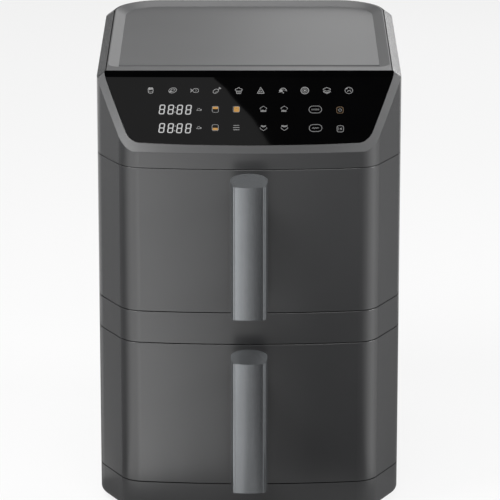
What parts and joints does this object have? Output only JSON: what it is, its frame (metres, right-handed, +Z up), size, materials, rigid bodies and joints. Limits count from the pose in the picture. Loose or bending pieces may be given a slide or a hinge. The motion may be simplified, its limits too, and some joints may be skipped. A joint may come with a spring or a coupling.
{
  "type": "air fryer",
  "caption": "Tall dark grey air fryer with stacked drawers, upright bar handles, a slanted glossy touch panel and a shallow tray top; each drawer holds a basket with a lift-out crisper plate.",
  "frame": {"origin": "on the surface that the appliance stands on, under the middle of its overall width and depth", "axes": "+Z up, -Y towards the drawers and the user, +X towards the user's right"},
  "size_m": [0.28, 0.4004, 0.4156],
  "materials": {
    "body_plastic": "satin dark grey",
    "front_plastic": "satin dark grey",
    "top_plastic": "satin dark grey",
    "panel_glass": "gloss black",
    "handle_metal": "gunmetal, satin",
    "handle_plastic": "matt black",
    "liner_plastic": "matt black",
    "circuit_board": "green laminate",
    "display": "gloss black",
    "lamp": "milky white",
    "sheet_steel": "plain sheet",
    "heater_steel": "dull",
    "fixing_steel": "zinc plated",
    "basket_coating": "non-stick coating",
    "fan_metal": "plain",
    "motor_metal": "satin grey",
    "rivet_metal": "plain",
    "foot_rubber": "matt black",
    "crisper_rubber": "matt black silicone",
    "gland_plastic": "matt black",
    "switch_plastic": "matt black",
    "plunger_plastic": "red",
    "board_parts": "gloss black"
  },
  "bodies": {
    "housing": {"left_side_panel": "body_plastic", "right_side_panel": "body_plastic", "back_panel": "body_plastic", "top_cover": "top_plastic", "control_housing": "front_plastic", "control_glass": "panel_glass", "control_board": "circuit_board", "digit_displays": "display", "indicator_leds": "lamp", "front_frame": "sheet_steel", "mid_band": "front_plastic", "base_pan": "front_plastic", "feet": "foot_rubber", "foot_screws": "fixing_steel", "cord_gland": "gland_plastic", "basket_runners": "sheet_steel", "temperature_probes": "fixing_steel", "motor_screws": "fixing_steel", "door_switches": "switch_plastic", "top_heat_shield": "sheet_steel", "power_board": "circuit_board", "power_parts": "board_parts", "middle_heat_shield": "sheet_steel", "upper_chamber": "sheet_steel", "upper_heater_guard": "sheet_steel", "upper_heater": "heater_steel", "upper_motor_bracket": "sheet_steel", "upper_motor": "motor_metal", "lower_chamber": "sheet_steel", "lower_heater_guard": "sheet_steel", "lower_heater": "heater_steel", "lower_motor_bracket": "sheet_steel", "lower_motor": "motor_metal"},
    "upper_drawer": {"upper_door": "front_plastic", "upper_door_liner": "liner_plastic", "upper_handle_grip": "handle_metal", "upper_handle_core": "handle_plastic", "upper_handle_screws": "fixing_steel", "upper_basket": "basket_coating", "upper_basket_rivets": "rivet_metal"},
    "upper_crisper": {"upper_crisper_plate": "basket_coating", "upper_crisper_feet": "crisper_rubber"},
    "upper_rotor": {"upper_fan_wheel": "fan_metal", "upper_fan_shaft": "fixing_steel", "upper_cooling_fan": "fan_metal"},
    "upper_plunger": {"upper_switch_plunger": "plunger_plastic"},
    "lower_drawer": {"lower_door": "front_plastic", "lower_door_liner": "liner_plastic", "lower_handle_grip": "handle_metal", "lower_handle_core": "handle_plastic", "lower_handle_screws": "fixing_steel", "lower_basket": "basket_coating", "lower_basket_rivets": "rivet_metal"},
    "lower_crisper": {"lower_crisper_plate": "basket_coating", "lower_crisper_feet": "crisper_rubber"},
    "lower_rotor": {"lower_fan_wheel": "fan_metal", "lower_fan_shaft": "fixing_steel", "lower_cooling_fan": "fan_metal"},
    "lower_plunger": {"lower_switch_plunger": "plunger_plastic"}
  },
  "joints": [
    {"name": "upper_drawer_slide", "type": "slide", "parent": "housing", "child": "upper_drawer", "axis": [0, -1, 0], "range_m": [0, 0.28]},
    {"name": "upper_crisper_lift", "type": "slide", "parent": "upper_drawer", "child": "upper_crisper", "axis": [0, 0, 1], "range_m": [0, 0.08]},
    {"name": "upper_fan_spin", "type": "hinge", "parent": "housing", "child": "upper_rotor", "pos_m": [0, 0.13475, 0.26985], "axis": [0, 1, 0], "continuous": true},
    {"name": "upper_switch_travel", "type": "slide", "parent": "housing", "child": "upper_plunger", "axis": [0, -1, 0], "range_m": [0, 0.0025]},
    {"name": "lower_drawer_slide", "type": "slide", "parent": "housing", "child": "lower_drawer", "axis": [0, -1, 0], "range_m": [0, 0.28]},
    {"name": "lower_crisper_lift", "type": "slide", "parent": "lower_drawer", "child": "lower_crisper", "axis": [0, 0, 1], "range_m": [0, 0.08]},
    {"name": "lower_fan_spin", "type": "hinge", "parent": "housing", "child": "lower_rotor", "pos_m": [0, 0.13475, 0.10275], "axis": [0, 1, 0], "continuous": true},
    {"name": "lower_switch_travel", "type": "slide", "parent": "housing", "child": "lower_plunger", "axis": [0, -1, 0], "range_m": [0, 0.0025]}
  ],
  "couplings": [
    {"joint": "upper_switch_travel", "follows": "upper_drawer_slide", "ratio": 0.0089286},
    {"joint": "lower_switch_travel", "follows": "lower_drawer_slide", "ratio": 0.0089286}
  ]
}
